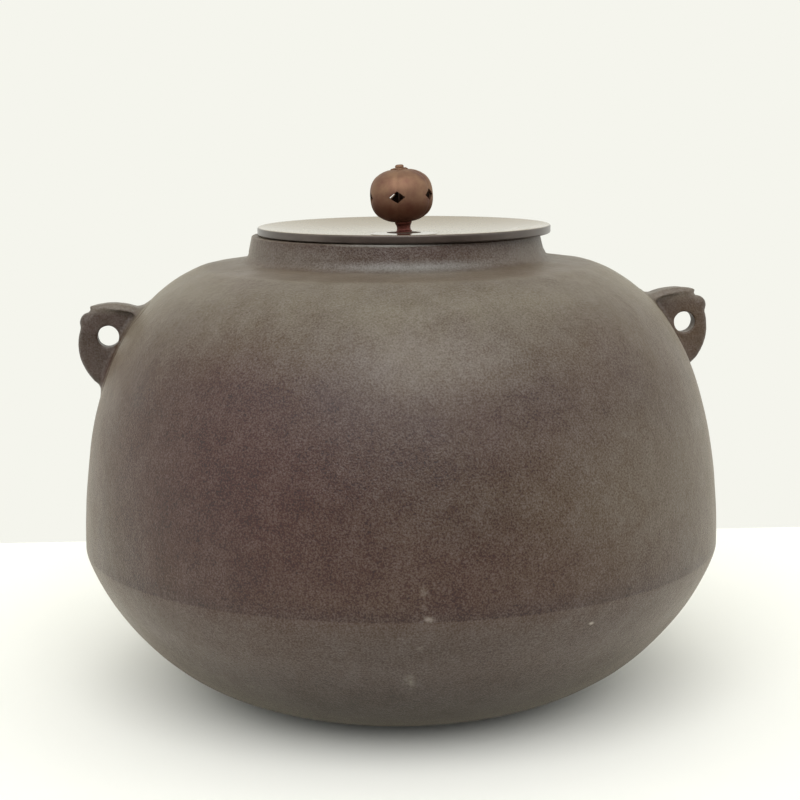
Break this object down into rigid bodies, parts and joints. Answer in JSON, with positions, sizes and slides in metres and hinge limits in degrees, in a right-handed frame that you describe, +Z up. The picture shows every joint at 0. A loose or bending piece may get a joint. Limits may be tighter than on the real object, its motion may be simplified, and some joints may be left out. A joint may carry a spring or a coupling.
{
  "type": "chagama kettle",
  "caption": "Round cast iron tea kettle with a ridged bowl, short neck and pierced side lugs, closed by a lift-off scooped bronze lid with a turning pierced knob.",
  "frame": {"origin": "centre of the flat base, on the kettle's axis", "axes": "+Z up along the kettle's axis, +X towards the right lug, -Y towards the front"},
  "size_m": [0.2602, 0.26, 0.2153],
  "materials": {
    "kettle_iron": "matt sandy cast skin, brown-grey patina",
    "lug_iron": "matt cast skin, darker red-brown patina",
    "lid_bronze": "satin dark bronze patina",
    "seat_bronze": "satin pale bronze",
    "knob_copper": "satin red-brown copper patina",
    "lacquer": "black-brown lacquer"
  },
  "bodies": {
    "kettle": {"kettle_body": "kettle_iron", "lug_left": "lug_iron", "lug_right": "lug_iron", "sounding_iron_1": "lug_iron", "sounding_iron_2": "lug_iron", "sounding_iron_3": "lug_iron", "sounding_iron_4": "lug_iron", "sounding_iron_5": "lug_iron", "lacquer_bed_1": "lacquer", "lacquer_bed_2": "lacquer", "lacquer_bed_3": "lacquer", "lacquer_bed_4": "lacquer", "lacquer_bed_5": "lacquer"},
    "lid": {"lid_plate": "lid_bronze", "lid_backing": "knob_copper", "knob_seat": "seat_bronze", "knob_stem": "knob_copper"},
    "knob": {"knob_collar": "knob_copper", "knob_ball": "knob_copper", "knob_cap": "knob_copper"}
  },
  "joints": [
    {"name": "lid_lift", "type": "slide", "parent": "kettle", "child": "lid", "axis": [0, 0, 1], "range_m": [0, 0.13]},
    {"name": "knob_turn", "type": "hinge", "parent": "lid", "child": "knob", "pos_m": [0.0024, 0, 0.18823], "axis": [-0.061, 0, 0.9981], "continuous": true}
  ]
}
